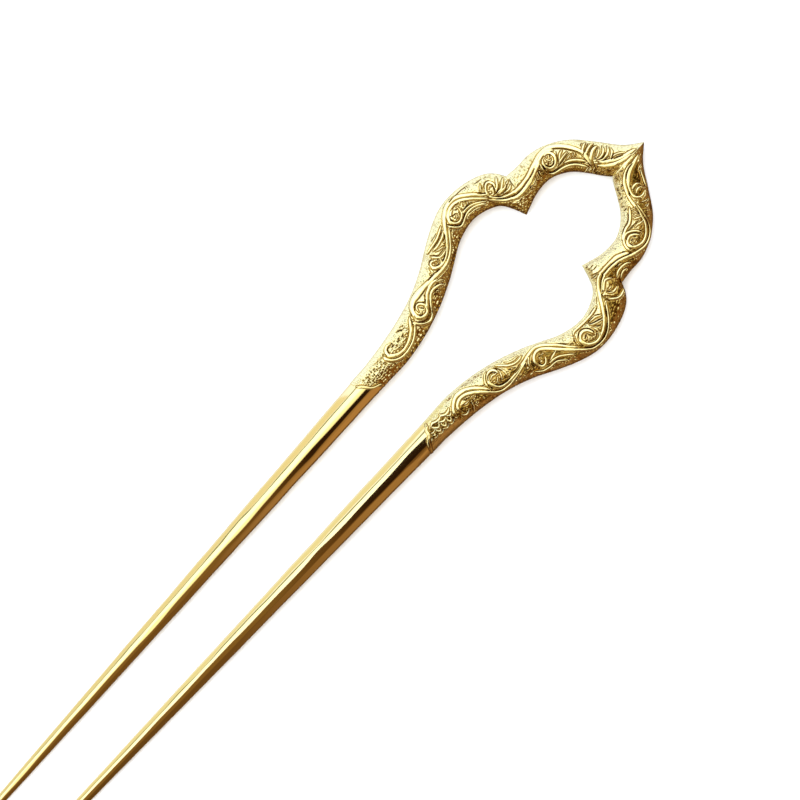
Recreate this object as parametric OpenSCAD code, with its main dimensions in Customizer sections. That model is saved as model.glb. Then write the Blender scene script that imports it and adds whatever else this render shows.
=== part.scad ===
// A two-pronged, U-shaped hairpin cast in one piece. Its head is an open frame of two pairs of lobes
// that meet in a point, and its two round prongs taper to blunt tips. It lies on its flat back, with
// +Y towards the point of the head, +Z up, and its origin below the middle of its bounding box.

/* [Overall] */
// Length from the point of the head to the tips of the prongs
total_length = 145; // [125:1:175]
// Width of the head across the lower pair of lobes
head_width = 32.2; // [26:0.2:38]
// Thickness of the head at its point
point_thickness = 3.8; // [3:0.1:4.4]
// Thickness of the head where the prongs begin
collar_thickness = 4.5; // [4.3:0.1:5.2]

/* [Prongs] */
// Diameter of each prong where it leaves the head
prong_root_d = 4.2; // [3.4:0.1:4.2]
// Diameter of each prong just behind its tip
prong_tip_d = 1.2; // [1:0.1:2.4]
// Length of the rounded end of a prong
prong_tip_round = 1; // [0.6:0.1:3]
// Height of the prong's lowest line above the surface where it leaves the head
prong_root_lift = 0.15; // [0.1:0.05:0.3]

/* [Section] */
// Squareness of the head's cross-section, where 2 is an ellipse
section_power = 2.4; // [2:0.1:3]
// Share of the lower half of the section that would lie below the flat back
back_cut = 0.25; // [0.1:0.05:0.4]

/* [Smoothness] */
// Rings of the head for each row of its section tables
rings_per_row = 4; // [2:1:5]
// Corners of each ring of the head
ring_corners = 20; // [16:4:24]
// Roundness of the prongs
prong_fn = 64; // [32:8:96]

/* [Hidden] */

// Columns of both tables: outer x, outer y, inner x, inner y. A row is one section across the frame,
// from its outer edge to the edge of its window, and y is the distance down from the head's point.
outer_x = 0;
outer_y = 1;
inner_x = 2;
inner_y = 3;
table_width = 32.2;

// The upper lobe, from the point of the head to the notch between the lobes
upper_lobe = [
    [ 0.0,  0.0, 0.0,  7.1],
    [ 2.1,  2.5, 1.2,  8.0],
    [ 5.3,  4.8, 2.8,  9.0],
    [ 8.4,  7.2, 4.7, 10.4],
    [10.5, 10.1, 6.0, 12.1],
    [11.5, 13.0, 6.7, 14.0],
    [11.6, 15.6, 6.6, 16.7],
    [11.8, 17.8, 5.6, 20.0],
];

// The lower lobe, from the notch to the collar where the prong begins
lower_lobe = [
    [11.8, 17.8,  5.6, 20.0],
    [13.3, 18.6,  7.9, 20.8],
    [14.6, 20.0,  9.5, 21.8],
    [15.6, 22.5, 10.6, 23.9],
    [16.1, 25.5, 11.0, 26.1],
    [15.9, 28.3, 10.7, 28.2],
    [14.9, 31.2, 10.0, 30.3],
    [13.4, 34.2,  8.7, 32.7],
    [11.7, 37.3,  7.3, 35.4],
    [10.2, 41.0,  5.7, 39.4],
    [ 9.2, 45.0,  4.5, 43.9],
    [ 8.6, 48.9,  3.9, 48.4],
    [ 8.3, 53.2,  3.8, 53.2],
];

head_length = lower_lobe[len(lower_lobe) - 1][outer_y];
point_y = total_length / 2;
collar_y = point_y - head_length;
width_scale = head_width / table_width;
prong_gap = 2 * width_scale * lower_lobe[len(lower_lobe) - 1][inner_x];

// How far each prong starts inside the solid end of the head
prong_overlap = 1.2;
prong_tip_steps = 8;
prong_root_x = width_scale * (lower_lobe[len(lower_lobe) - 1][outer_x]
    + lower_lobe[len(lower_lobe) - 1][inner_x]) / 2;
prong_root = [prong_root_x, collar_y, prong_root_lift + prong_root_d / 2];
prong_end = [(prong_gap + prong_tip_d) / 2, -point_y, prong_tip_d / 2];

// A smooth curve through the rows of a table: the row at place u, counted in rows
function row_at(rows, u) =
    let (
        last = len(rows) - 1,
        i = min(floor(u), last - 1),
        t = u - i,
        b = rows[i],
        c = rows[i + 1],
        a = i > 0 ? rows[i - 1] : 2 * b - c,
        d = i + 1 < last ? rows[i + 2] : 2 * c - b
    )
    0.5 * (2 * b + (c - a) * t + (2 * a - 5 * b + 4 * c - d) * t * t
        + (3 * b - a - 3 * c + d) * t * t * t);

function smooth_rows(rows) =
    [for (k = [0 : rings_per_row * (len(rows) - 1)]) row_at(rows, k / rings_per_row)];

function rounded(x) = sign(x) * pow(abs(x), 2 / section_power);

// One corner of a section, at angle a from its outer edge, for a frame of thickness t there
function section_corner(row, a, t, side) =
    let (
        across = rounded(cos(a)),
        up = rounded(sin(a)) * (sin(a) < 0 ? 1 + back_cut : 1),
        x = (row[outer_x] * (1 + across) + row[inner_x] * (1 - across)) / 2,
        y = (row[outer_y] * (1 + across) + row[inner_y] * (1 - across)) / 2
    )
    [side * width_scale * x, point_y - y, max(0, t / 2 * (1 + up))];

function thickness_at(row) =
    let (share = (row[outer_y] + row[inner_y]) / 2 / head_length)
    point_thickness + (collar_thickness - point_thickness) * share;

// The ring of corners at one row, on the right side (1) or the left side (-1) of the head
function ring(row, side) =
    [for (k = [0 : ring_corners - 1])
        section_corner(row, k * 360 / ring_corners, thickness_at(row), side)];

// Point of the head down to the collar, without repeating the row at the notch
half_rows = concat(
    smooth_rows(upper_lobe),
    [for (k = [1 : rings_per_row * (len(lower_lobe) - 1)]) row_at(lower_lobe, k / rings_per_row)]
);

// All the rings of the frame, from the right collar over the point of the head to the left collar
function frame_rings() =
    let (n = len(half_rows))
    concat(
        [for (k = [n - 1 : -1 : 0]) ring(half_rows[k], 1)],
        [for (k = [1 : n - 1]) ring(half_rows[k], -1)]
    );

function middle(points) = [for (p = points) 1] * points / len(points);

// The open frame of the head, one tube from collar to collar
module head_frame() {
    rings = frame_rings();
    count = len(rings);
    first_middle = count * ring_corners;
    points = concat(
        [for (r = rings) each r],
        [middle(rings[0]), middle(rings[count - 1])]
    );
    walls = [for (r = [0 : count - 2], k = [0 : ring_corners - 1])
        let (
            a = r * ring_corners + k,
            b = r * ring_corners + (k + 1) % ring_corners
        )
        each [[a, b + ring_corners, a + ring_corners], [a, b, b + ring_corners]]];
    first_cap = [for (k = [0 : ring_corners - 1]) [first_middle, (k + 1) % ring_corners, k]];
    last_ring = (count - 1) * ring_corners;
    last_cap = [for (k = [0 : ring_corners - 1])
        [first_middle + 1, last_ring + k, last_ring + (k + 1) % ring_corners]];
    polyhedron(points, concat(walls, first_cap, last_cap));
}

// A straight round prong that tapers to a blunt tip, laid from its root in the head to its end
module prong() {
    run = prong_end - prong_root;
    reach = norm(run);
    taper = (prong_root_d - prong_tip_d) / 2 / reach;
    shoulder = reach - prong_tip_round;
    shoulder_r = prong_root_d / 2 - taper * shoulder;
    translate(prong_root)
        rotate([0, acos(run[2] / reach), atan2(run[1], run[0])])
            rotate_extrude($fn = prong_fn)
                polygon(concat(
                    [[0, -prong_overlap], [prong_root_d / 2, -prong_overlap], [prong_root_d / 2, 0]],
                    [for (k = [0 : prong_tip_steps])
                        [shoulder_r * cos(90 * k / prong_tip_steps),
                         shoulder + prong_tip_round * sin(90 * k / prong_tip_steps)]]
                ));
}

// The whole casting
module hairpin() {
    color("gold")
        union() {
            head_frame();
            prong();
            mirror([1, 0, 0]) prong();
        }
}

hairpin();
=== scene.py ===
import math
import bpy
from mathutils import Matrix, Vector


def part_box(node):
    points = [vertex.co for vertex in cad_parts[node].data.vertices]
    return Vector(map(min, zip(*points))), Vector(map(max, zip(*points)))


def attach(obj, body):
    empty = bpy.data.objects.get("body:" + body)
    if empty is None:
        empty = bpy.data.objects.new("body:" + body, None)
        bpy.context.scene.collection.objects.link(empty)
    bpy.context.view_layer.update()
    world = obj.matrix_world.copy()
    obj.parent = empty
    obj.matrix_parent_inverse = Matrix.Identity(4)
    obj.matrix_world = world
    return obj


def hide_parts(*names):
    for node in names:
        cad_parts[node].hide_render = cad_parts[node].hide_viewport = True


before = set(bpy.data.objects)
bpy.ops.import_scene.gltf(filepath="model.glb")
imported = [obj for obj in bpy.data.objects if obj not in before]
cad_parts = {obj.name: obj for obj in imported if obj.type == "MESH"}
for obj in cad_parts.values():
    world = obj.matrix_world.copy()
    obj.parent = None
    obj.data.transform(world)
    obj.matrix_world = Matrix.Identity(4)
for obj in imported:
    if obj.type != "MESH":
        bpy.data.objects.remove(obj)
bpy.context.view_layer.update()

from types import SimpleNamespace

import bpy
import numpy as np

# The gold-plated hairpin of the frame, with its relief. Each half of the head is a band. Lengths are
# in millimetres until a mesh is made. In the band's sections and relief y is the distance down from
# the head's point, and elsewhere it is the frame's own.
MM = 0.001
LOW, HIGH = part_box("hairpin")
POINT_Y = HIGH[1] / MM
TIP_Y = LOW[1] / MM

# Sections of the half band, as in the part's own source: outer x, outer y, inner x, inner y
OUTER_X, OUTER_Y, INNER_X, INNER_Y = range(4)
UPPER_LOBE = [
    [0.0, 0.0, 0.0, 7.1],
    [2.1, 2.5, 1.2, 8.0],
    [5.3, 4.8, 2.8, 9.0],
    [8.4, 7.2, 4.7, 10.4],
    [10.5, 10.1, 6.0, 12.1],
    [11.5, 13.0, 6.7, 14.0],
    [11.6, 15.6, 6.6, 16.7],
    [11.8, 17.8, 5.6, 20.0],
]
LOWER_LOBE = [
    [11.8, 17.8, 5.6, 20.0],
    [13.3, 18.6, 7.9, 20.8],
    [14.6, 20.0, 9.5, 21.8],
    [15.6, 22.5, 10.6, 23.9],
    [16.1, 25.5, 11.0, 26.1],
    [15.9, 28.3, 10.7, 28.2],
    [14.9, 31.2, 10.0, 30.3],
    [13.4, 34.2, 8.7, 32.7],
    [11.7, 37.3, 7.3, 35.4],
    [10.2, 41.0, 5.7, 39.4],
    [9.2, 45.0, 4.5, 43.9],
    [8.6, 48.9, 3.9, 48.4],
    [8.3, 53.2, 3.8, 53.2],
]
COLLAR = LOWER_LOBE[-1]
HEAD_LENGTH = COLLAR[OUTER_Y]
POINT_THICKNESS = 3.8
COLLAR_THICKNESS = 4.5
# Squareness of the section, which is slightly rounder than the part's own, and the share of its lower
# half that would lie below the flat back
SECTION_POWER = 2.1
BACK_CUT = 0.25
# Half the band's usual width and height, for textures and for spacing the columns
HALF_WIDTH = 3.2
HALF_HEIGHT = 1.9

PRONG_ROOT_D = 4.2
PRONG_TIP_D = 1.2
PRONG_TIP_ROUND = 1.0
PRONG_ROOT_LIFT = 0.15
PRONG_ROOT_X = (COLLAR[OUTER_X] + COLLAR[INNER_X]) / 2
PRONG_END_X = COLLAR[INNER_X] + PRONG_TIP_D / 2

# How far the band goes on past the collar, and where and by what share its section shrinks there
LIP_ROOM = 3.6
BLEND_START = 52.0
BLEND_END = 57.5
COLLAR_SHRINK = 0.06

# How many steps the sections are worked out in for each row of their tables
STEPS_PER_ROW = 200

SIDES = {"left": -1, "right": 1}


def curve_through(rows, places):
    """A smooth curve through the rows of a table, at places counted in rows."""
    rows = np.asarray(rows, float)
    last = len(rows) - 1
    i = np.clip(np.floor(places).astype(int), 0, last - 1)
    t = (places - i)[:, None]
    b, c = rows[i], rows[i + 1]
    a = np.where(i[:, None] > 0, rows[np.maximum(i - 1, 0)], 2 * b - c)
    d = np.where(i[:, None] + 1 < last, rows[np.minimum(i + 2, last)], 2 * c - b)
    return 0.5 * (2 * b + (c - a) * t + (2 * a - 5 * b + 4 * c - d) * t**2
                  + (3 * b - a - 3 * c + d) * t**3)


def smooth_step(low, high, values):
    """0 below the low value, 1 above the high one, and a soft rise between them."""
    t = np.clip((values - low) / (high - low), 0.0, 1.0)
    return t * t * (3 - 2 * t)


def run_along(points):
    """How far along a line of points each of them lies."""
    return np.concatenate([[0], np.cumsum(np.linalg.norm(np.diff(points, axis=0), axis=1))])


def fine_sections(rows):
    """The sections between the rows of a table, at small steps."""
    last = len(rows) - 1
    return curve_through(rows, np.linspace(0, last, STEPS_PER_ROW * last))


def half_band():
    """The half band's sections and how far along each one is, and the places of notch and collar."""
    upper = fine_sections(UPPER_LOBE)
    lower = fine_sections(LOWER_LOBE)[1:]
    slant = (PRONG_END_X - PRONG_ROOT_X) / (POINT_Y - TIP_Y - HEAD_LENGTH)
    onward = np.array(COLLAR) + LIP_ROOM * np.array([slant, 1.0, slant, 1.0])
    rows = np.vstack([upper, lower, onward])
    along = run_along((rows[:, :2] + rows[:, 2:]) / 2)
    return rows, along, along[len(upper) - 1], along[-2]


BAND_ROWS, BAND_ALONG, NOTCH, COLLAR_ALONG = half_band()


def sections_at(along):
    return np.stack([np.interp(along, BAND_ALONG, BAND_ROWS[:, k]) for k in range(4)], axis=-1)


def on_section(row, across):
    """The x and y at a share across a section, which is -1 at the window and 1 outside."""
    outer = (1 + np.asarray(across))[..., None] / 2
    return row[..., :2] * outer + row[..., 2:] * (1 - outer)


def place_in_band(along, across):
    return on_section(sections_at(np.asarray(along)), across)


def thickness_at(row):
    mean_y = (row[..., OUTER_Y] + row[..., INNER_Y]) / 2
    return POINT_THICKNESS + (COLLAR_THICKNESS - POINT_THICKNESS) * np.minimum(1, mean_y / HEAD_LENGTH)


def band_rise(along, across):
    """How high the plain band stands over its own middle, in mm."""
    flat = np.clip(1 - np.abs(across) ** SECTION_POWER, 0, 1)
    return thickness_at(sections_at(np.asarray(along))) / 2 * flat ** (1 / SECTION_POWER)


# The scrolls, charted in the half band, all in hundredths: the distance along it and the
# widths in mm, and the share across it. A long stem is a row of places with the width at each:
# along, across, width.
STEMS = {"left": [
    [(20, 60, 60), (80, 40, 70), (140, 17, 70), (200, 4, 75), (280, -8, 75), (360, -19, 60),
     (430, -23, 45)],
    [(10, 26, 70), (60, 5, 75), (120, -15, 75), (180, -27, 75), (260, -36, 65), (340, -42, 60),
     (430, -44, 60)],
    [(510, -55, 60), (560, -35, 60), (620, -12, 65), (690, 14, 70), (770, 32, 75), (860, 48, 80),
     (950, 62, 80), (1050, 74, 75), (1150, 78, 75), (1230, 70, 75), (1310, 56, 80), (1400, 36, 80),
     (1500, 22, 78), (1600, 10, 78), (1700, 7, 78), (1800, 9, 78), (1930, 16, 70), (2000, 3, 60),
     (2060, -11, 50), (2120, -25, 42), (2180, -37, 38), (2240, -45, 34), (2300, -48, 34), (2350, -45, 40),
     (2400, -33, 45)],
    [(1100, 55, 50), (1180, 64, 60), (1260, 55, 70), (1330, 38, 70), (1400, 14, 75), (1480, 0, 75),
     (1560, -13, 80), (1650, -20, 95), (1750, -19, 90), (1850, -13, 75), (1930, -7, 72), (2000, -22, 65),
     (2060, -33, 60), (2120, -46, 55), (2180, -56, 52), (2240, -62, 52), (2300, -64, 50), (2370, -59, 48),
     (2430, -47, 45)],
    [(2430, -15, 50), (2500, -5, 55), (2600, 20, 58), (2680, 38, 62), (2750, 55, 65), (2830, 68, 68),
     (2920, 74, 72), (3000, 72, 72), (3090, 60, 72), (3160, 43, 70), (3240, 20, 68), (3310, 0, 62),
     (3380, -17, 55), (3450, -29, 50), (3530, -36, 42), (3600, -38, 40), (3680, -35, 45), (3760, -25, 55),
     (3820, -6, 60), (3855, 20, 60), (3835, 42, 50)],
    [(2440, -37, 45), (2500, -28, 48), (2580, -12, 50), (2650, 4, 55), (2720, 20, 60), (2790, 36, 60),
     (2870, 47, 60), (2950, 50, 62), (3030, 43, 62), (3090, 30, 62), (3125, 8, 60), (3115, -15, 60),
     (3070, -33, 58), (3010, -42, 55), (2940, -36, 52), (2895, -18, 48), (2880, 5, 45), (2900, 25, 42)],
    [(3210, -3, 42), (3270, -18, 46), (3340, -34, 46), (3420, -48, 44), (3500, -54.5, 46), (3600, -57, 52),
     (3700, -53, 60), (3800, -40, 68), (3880, -24, 72), (3940, -9, 78), (4000, 4, 85), (4060, 17, 82),
     (4120, 31, 82), (4190, 45, 90), (4260, 57, 105), (4340, 66, 105), (4420, 73, 90), (4500, 68, 80),
     (4570, 54, 75), (4615, 30, 70), (4630, 5, 65), (4610, -20, 62), (4550, -36, 60), (4490, -37, 55),
     (4438, -20, 48), (4422, 5, 45), (4438, 28, 45), (4480, 38, 40), (4525, 28, 36), (4550, 10, 32)],
    [(3995, -22, 40), (4050, -5, 50), (4110, 6, 55), (4180, 10, 58), (4250, 9, 58), (4320, -1, 56),
     (4390, -15, 52), (4450, -31, 48), (4500, -43, 40)],
    [(4690, 45, 50), (4740, 30, 58), (4790, 13, 62), (4850, -5, 66), (4920, -18, 66), (5000, -29, 64),
     (5100, -34.5, 58), (5200, -31, 62), (5280, -16, 72), (5330, 4, 75), (5350, 27, 66), (5340, 48, 60),
     (5300, 62, 55), (5250, 65, 45), (5190, 56, 35)],
    [(4750, -6, 42), (4800, -20, 50), (4860, -34, 55), (4930, -46, 56), (5020, -55, 55), (5120, -58, 55),
     (5220, -55, 56), (5300, -44, 58), (5360, -26, 56), (5400, -4, 52), (5420, 20, 50), (5415, 42, 42),
     (5395, 55, 35)],
], "right": [
    [(70, 58, 45), (115, 36, 65), (160, 14, 75), (220, -3, 80), (300, -13, 76), (380, -19, 52),
     (450, -18, 42), (510, -14, 40), (560, -3, 42), (585, 15, 44), (588, 35, 44), (565, 55, 44),
     (520, 69, 36)],
    [(95, 15, 40), (112, -8, 50), (160, -26, 52), (230, -35, 56), (300, -40, 58), (400, -41, 56),
     (500, -38, 52), (570, -31, 50), (640, -22, 48), (700, -10, 48), (770, 4, 46), (850, 24, 42),
     (930, 45, 42), (1010, 57, 46), (1100, 63, 50), (1180, 60, 55), (1250, 48, 62), (1305, 28, 60),
     (1335, 5, 58), (1330, -18, 56), (1295, -31, 54), (1240, -34, 50), (1185, -27, 48), (1150, -8, 42),
     (1135, 12, 38), (1130, 30, 32)],
    [(690, 5, 30), (770, 25, 34), (850, 45, 38), (930, 68, 42), (1010, 82, 46), (1100, 87, 50),
     (1180, 84, 52), (1250, 75, 54), (1320, 60, 58), (1400, 42, 60), (1470, 27, 62), (1540, 13, 64),
     (1610, 3, 64), (1700, -1, 62), (1800, 1, 62), (1930, 8, 54), (2000, -6, 46), (2080, -24, 42),
     (2150, -35, 42), (2220, -43, 42), (2290, -50, 40)],
    [(1430, 12, 45), (1480, -2, 70), (1540, -15, 78), (1600, -24, 82), (1700, -24, 68), (1800, -19, 58),
     (1930, -12, 52), (2000, -28, 54), (2080, -46, 58), (2150, -57, 60), (2230, -65, 62), (2300, -66, 62),
     (2380, -56, 62), (2450, -40, 62), (2530, -20, 60), (2600, -2, 58), (2680, 17, 56), (2760, 33, 54),
     (2840, 44, 54), (2920, 52, 56), (3000, 51, 60), (3070, 38, 64), (3110, 15, 62), (3112, -10, 60),
     (3080, -30, 60), (3020, -43, 62), (2960, -43, 56), (2915, -28, 50), (2900, -5, 42), (2915, 12, 34)],
    [(2390, -22, 30), (2450, -9, 36), (2530, 10, 40), (2600, 29, 42), (2680, 46, 42), (2750, 59, 40),
     (2830, 70, 40), (2910, 74, 40), (3000, 73, 40), (3080, 68, 42), (3150, 53, 48), (3220, 36, 54),
     (3300, 16, 60), (3380, -3, 62), (3460, -19, 62), (3530, -33, 62), (3600, -45, 62), (3670, -54, 62),
     (3740, -57, 62), (3810, -48, 60), (3860, -28, 58), (3880, -2, 56), (3870, 22, 52), (3835, 42, 50),
     (3790, 45, 48), (3740, 33, 46), (3715, 12, 42), (3710, -8, 36)],
    [(3210, 12, 32), (3270, 0, 38), (3330, -17, 42), (3390, -35, 42), (3450, -49, 42), (3530, -61, 45),
     (3620, -74, 50), (3700, -80, 50), (3790, -77, 50), (3870, -63, 56), (3940, -45, 60), (4000, -28, 56),
     (4070, -10, 52), (4140, 8, 50), (4210, 25, 50), (4290, 40, 50), (4380, 50, 50), (4460, 55, 52),
     (4530, 51, 56), (4580, 38, 60), (4620, 15, 60), (4635, -10, 58), (4620, -35, 56), (4580, -57, 56),
     (4520, -64, 54), (4470, -52, 46), (4450, -32, 38)],
    [(4010, -14, 30), (4070, 2, 38), (4130, 19, 40), (4200, 37, 40), (4280, 54, 40), (4360, 68, 40),
     (4440, 75, 42), (4520, 77, 44), (4600, 70, 52), (4670, 57, 60), (4740, 37, 64), (4810, 15, 66),
     (4880, -5, 66), (4950, -21, 66), (5020, -33, 64), (5090, -37, 62), (5160, -31, 62), (5215, -14, 60),
     (5240, 8, 54), (5235, 30, 40)],
    [(4680, 30, 42), (4730, 12, 50), (4790, -8, 56), (4850, -28, 60), (4920, -45, 62), (5000, -60, 68),
     (5080, -65, 75), (5160, -62, 70), (5230, -45, 62), (5290, -20, 60), (5320, 5, 56), (5330, 30, 42)],
]}

# Short leaves between the stems: a width, then along and across of each place
LEAVES = {"left": [
    (32, (150, 47), (210, 47), (260, 36), (285, 16)),
    (42, (360, 74), (322, 52), (305, 32), (300, 10)),
    (46, (400, 78), (374, 55), (364, 30), (380, 8), (415, -9), (460, -17)),
    (42, (455, 74), (430, 50), (425, 26), (442, 5), (475, -6)),
    (34, (495, 66), (484, 42), (486, 15), (500, -5)),
    (62, (525, 70), (556, 52), (572, 30), (575, 5), (572, -15), (585, -32)),
    (46, (575, 84), (610, 68), (636, 44), (652, 22), (660, 4)),
    (42, (670, 86), (695, 60), (705, 35), (698, 20)),
    (46, (650, -30), (740, -28), (850, -28), (940, -32), (995, -38)),
    (46, (620, -62), (720, -58), (840, -55), (950, -58), (1040, -65), (1120, -72), (1200, -78), (1270, -78),
     (1320, -69), (1350, -54)),
    (35, (480, -60), (490, -75), (485, -92)),
    (40, (595, -65), (620, -80), (650, -95)),
    (22, (800, 10), (825, -10)),
    (24, (840, 16), (865, -8)),
    (28, (875, 10), (915, -6), (960, -20)),
    (34, (925, 26), (980, 6), (1035, -13), (1090, -32)),
    (40, (985, 42), (1025, 22), (1050, 0), (1070, -18)),
    (48, (1235, 44), (1180, 50), (1130, 36), (1112, 10), (1125, -15), (1160, -34), (1220, -43), (1280, -38),
     (1308, -18), (1310, 5), (1285, 28)),
    (30, (1175, 12), (1200, 2), (1230, 12), (1245, 25)),
    (30, (1355, 14), (1360, -20), (1355, -55)),
    (24, (1425, -12), (1430, -38), (1430, -62)),
    (26, (1450, -26), (1475, -35), (1460, -47)),
    (28, (1520, -30), (1560, -38), (1620, -42), (1655, -37)),
    (50, (1950, 52), (2000, 30), (2050, 12), (2100, -3), (2150, -17), (2200, -28), (2240, -35)),
    (36, (1940, 78), (2000, 58), (2050, 40), (2100, 20), (2150, 4), (2200, -12), (2260, -27)),
    (42, (2030, 82), (2080, 60), (2120, 36), (2160, 12), (2210, -5), (2270, -22)),
    (44, (2160, 78), (2190, 50), (2210, 25), (2245, 4), (2275, -12)),
    (46, (2265, 6), (2255, 30), (2285, 46), (2335, 46), (2380, 30), (2405, 4), (2400, -22), (2375, -36)),
    (42, (2295, 24), (2330, 26), (2350, 10)),
    (30, (2430, 55), (2462, 30), (2480, 10)),
    (40, (2480, -52), (2550, -42), (2630, -32), (2700, -26), (2800, -22), (2880, -28), (2930, -38)),
    (46, (2500, -62), (2580, -53), (2660, -45), (2740, -42), (2820, -44), (2900, -53), (2970, -62),
     (3030, -64), (3090, -55), (3140, -35), (3175, -12), (3195, 10)),
    (28, (2580, -65), (2660, -59), (2750, -57), (2850, -59), (2920, -70)),
    (26, (2715, 7), (2760, -10)),
    (26, (2765, 22), (2815, 0)),
    (26, (2810, 36), (2845, 20)),
    (40, (2970, 34), (3020, 30), (3062, 12), (3055, -12), (3015, -18), (2975, -4)),
    (40, (3260, 46), (3340, 43), (3440, 45), (3530, 55), (3620, 69), (3700, 80)),
    (44, (3300, 22), (3380, 16), (3470, 22), (3550, 32), (3630, 50)),
    (32, (3495, -10), (3540, 5), (3585, 20), (3620, 35)),
    (40, (3530, -24), (3600, -18), (3660, -6), (3690, 12), (3708, 36), (3725, 56)),
    (42, (3725, 12), (3750, 28), (3785, 42), (3830, 42), (3855, 22)),
    (40, (3685, -4), (3715, -17), (3760, -20), (3810, -12), (3845, 5)),
    (26, (3745, 8), (3770, 14), (3785, 28)),
    (30, (3885, 45), (3910, 25), (3930, 5)),
    (36, (3965, -60), (3995, -38), (4040, -18)),
    (54, (4030, -68), (4060, -50), (4100, -32), (4150, -18), (4210, -13), (4270, -18), (4330, -30),
     (4390, -45), (4440, -60), (4490, -74), (4550, -80), (4620, -74), (4680, -53), (4715, -28), (4735, 0),
     (4750, 20)),
    (28, (4135, -62), (4145, -47), (4175, -36)),
    (26, (4655, 50), (4680, 30), (4692, 10)),
], "right": [
    (50, (415, 46), (405, 26), (420, 8), (450, -2)),
    (46, (458, 50), (470, 34), (492, 22), (520, 16)),
    (22, (350, 10), (350, -3)),
    (34, (215, 78), (230, 67), (255, 56)),
    (30, (270, 72), (360, 78), (460, 80)),
    (26, (630, 80), (650, 60), (660, 40), (662, 26)),
    (24, (685, 72), (708, 57), (730, 43)),
    (25, (635, 8), (650, -8), (665, -28)),
    (40, (920, 32), (960, 17), (992, 0), (1035, -10)),
    (44, (870, 18), (890, 0), (915, -24)),
    (38, (830, 0), (860, -26)),
    (34, (788, -6), (815, -30)),
    (34, (740, -13), (765, -36)),
    (20, (1000, 28), (1040, 20)),
    (38, (1088, 36), (1085, 5), (1105, -22), (1150, -47), (1210, -58), (1280, -58), (1340, -45),
     (1378, -22), (1390, 2), (1390, 22)),
    (50, (730, -45), (830, -46), (930, -46), (1020, -52), (1100, -64), (1200, -69), (1300, -66)),
    (25, (1210, 10), (1240, 20), (1270, 10)),
    (48, (1545, 60), (1590, 46), (1660, 39), (1730, 41), (1800, 48), (1870, 59)),
    (46, (1660, 66), (1720, 63), (1790, 70), (1860, 82), (1920, 92)),
    (22, (1610, 25), (1660, 18), (1720, 20)),
    (22, (1820, 25), (1870, 38)),
    (45, (1930, 45), (1980, 20), (2030, -1), (2090, -16), (2160, -27), (2230, -35)),
    (45, (2070, 52), (2120, 42), (2180, 26), (2220, 3), (2240, -12)),
    (34, (2100, 20), (2150, 7), (2195, -10)),
    (45, (2070, 88), (2150, 76), (2220, 60), (2270, 40), (2305, 15), (2335, -10)),
    (38, (2895, 48), (2845, 30), (2828, 2), (2835, -22)),
    (28, (3045, 12), (3025, 0), (3000, -14)),
    (30, (3180, 10), (3185, -10), (3170, -32), (3140, -52)),
    (38, (2655, -3), (2710, -15), (2780, -30), (2830, -44)),
    (40, (2610, -20), (2650, -38), (2710, -49), (2800, -57)),
    (26, (2735, 2), (2775, -10), (2810, -24)),
    (42, (2520, -66), (2650, -71), (2800, -78), (2950, -80), (3080, -75), (3140, -60)),
    (35, (3440, 60), (3500, 53), (3570, 46), (3630, 50), (3700, 62), (3770, 70), (3830, 74), (3890, 69),
     (3935, 62)),
    (40, (3320, 43), (3380, 35), (3450, 27), (3530, 22), (3610, 27), (3690, 39)),
    (40, (3520, -18), (3560, -5), (3610, 10), (3660, 25)),
    (28, (3685, -30), (3720, -27), (3760, -25)),
    (32, (3935, -35), (3968, -12), (3978, 10), (3965, 34)),
    (40, (4030, -62), (4100, -42), (4180, -35), (4260, -40), (4320, -51), (4380, -66), (4440, -78)),
    (30, (4080, -68), (4160, -57), (4240, -58), (4300, -70)),
    (30, (4340, 24), (4345, -2), (4365, -26), (4400, -50), (4450, -66)),
    (32, (4432, 20), (4422, -8), (4415, -35)),
    (32, (4520, 27), (4502, 8), (4482, -10)),
    (35, (4460, -38), (4500, -31), (4550, -33), (4595, -16)),
    (32, (4672, 20), (4686, -6), (4676, -32), (4642, -58), (4595, -76)),
    (34, (5065, 75), (5030, 60), (5012, 40), (5010, 20)),
    (38, (5110, 46), (5145, 61), (5200, 65), (5240, 56), (5255, 43)),
    (30, (5040, 10), (5090, 13), (5140, 11)),
    (46, (5405, 5), (5420, 24), (5450, 31), (5470, 18), (5468, 0)),
    (46, (5515, 5), (5525, 22), (5550, 28), (5578, 18), (5580, -2)),
    (46, (5632, 8), (5645, 24), (5668, 28), (5695, 15), (5697, -2)),
    (42, (5755, 10), (5765, 26), (5790, 10)),
    (50, (5365, -10), (5395, 0), (5430, -12)),
    (50, (5465, -12), (5510, -4), (5550, -8), (5590, -24)),
    (50, (5605, -15), (5630, 0), (5660, 0), (5695, -15), (5710, -32)),
    (50, (5720, -5), (5750, 2), (5785, -6)),
    (52, (5340, -40), (5380, -27), (5440, -25), (5490, -40), (5500, -58)),
    (52, (5510, -45), (5550, -35), (5610, -37), (5670, -49), (5720, -40)),
]}

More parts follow.
